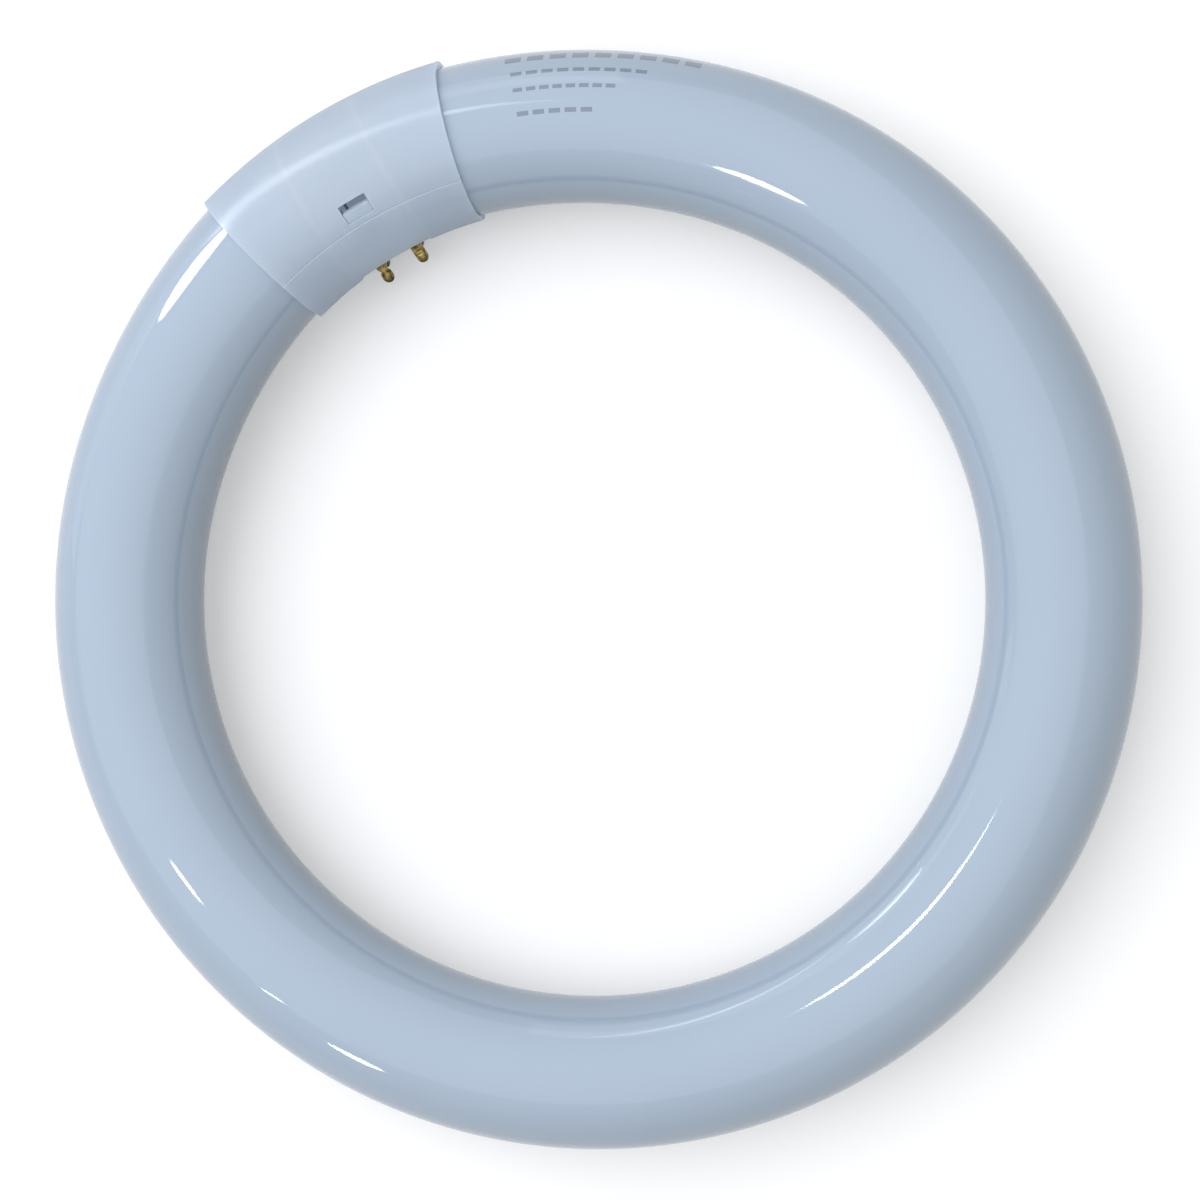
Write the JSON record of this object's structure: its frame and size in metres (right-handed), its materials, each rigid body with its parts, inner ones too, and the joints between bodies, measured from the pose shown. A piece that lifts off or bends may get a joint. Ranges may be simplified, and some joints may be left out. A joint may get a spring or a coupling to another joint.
{
  "type": "circular fluorescent tube",
  "caption": "White glass ring lamp with a two-part plastic cap carrying brass contact pins that point in and down.",
  "frame": {"origin": "centre of the glass ring, in its middle plane", "axes": "+Z out of the ring's plane, on the side away from the pins; +Y from the centre to the cap; +X to the right seen from +Z with the cap at the top"},
  "size_m": [0.21, 0.2128, 0.0314],
  "materials": {
    "coated_glass": "glossy blown glass, white phosphor coat inside, opaque",
    "cap_plastic": "semi-gloss moulded white plastic, slightly translucent",
    "pin_brass": "drawn and crimped, tarnished",
    "wire_nickel": "drawn nickel-plated wire"
  },
  "bodies": {
    "root": {"glass_tube": "coated_glass", "cap_outer_shell": "cap_plastic", "cap_inner_shell": "cap_plastic", "contact_pin_1": "pin_brass", "contact_pin_2": "pin_brass", "contact_pin_3": "pin_brass", "contact_pin_4": "pin_brass", "lead_wire_1": "wire_nickel", "lead_wire_2": "wire_nickel", "lead_wire_3": "wire_nickel", "lead_wire_4": "wire_nickel"}
  },
  "joints": []
}
